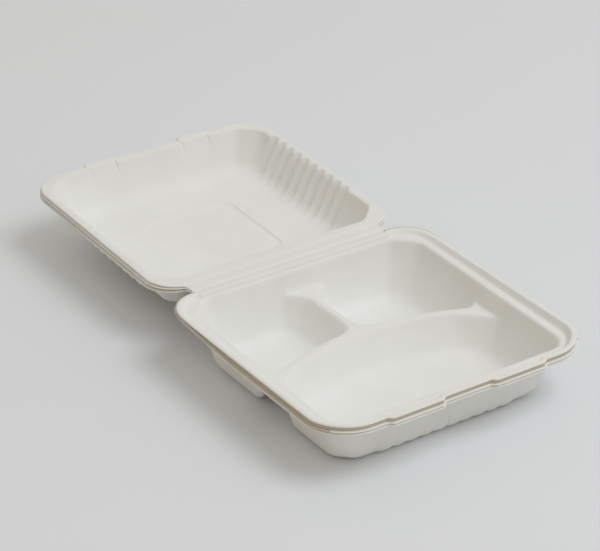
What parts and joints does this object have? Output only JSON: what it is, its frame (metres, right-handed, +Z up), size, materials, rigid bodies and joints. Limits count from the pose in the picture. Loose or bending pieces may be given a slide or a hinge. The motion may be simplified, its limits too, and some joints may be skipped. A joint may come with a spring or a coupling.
{
  "type": "hinged takeaway food container",
  "caption": "Hinged moulded plant-fibre takeaway container with a compartmented tray, a fluted lid and front latches, shown open.",
  "frame": {"origin": "centre of the part's box, on the surface the tray stands on", "axes": "+X along the fold, +Y from the tray towards the open lid, +Z up"},
  "size_m": [0.2324, 0.4409, 0.056],
  "materials": {
    "tray_fibre": "matte",
    "lid_fibre": "matte"
  },
  "bodies": {
    "tray": {"tray": "tray_fibre"},
    "lid": {"lid": "lid_fibre"}
  },
  "joints": [
    {"name": "lid_fold", "type": "hinge", "parent": "tray", "child": "lid", "pos_m": [0, 0.00484, 0.0475], "axis": [1, 0, 0], "range_deg": [0, 179]}
  ]
}
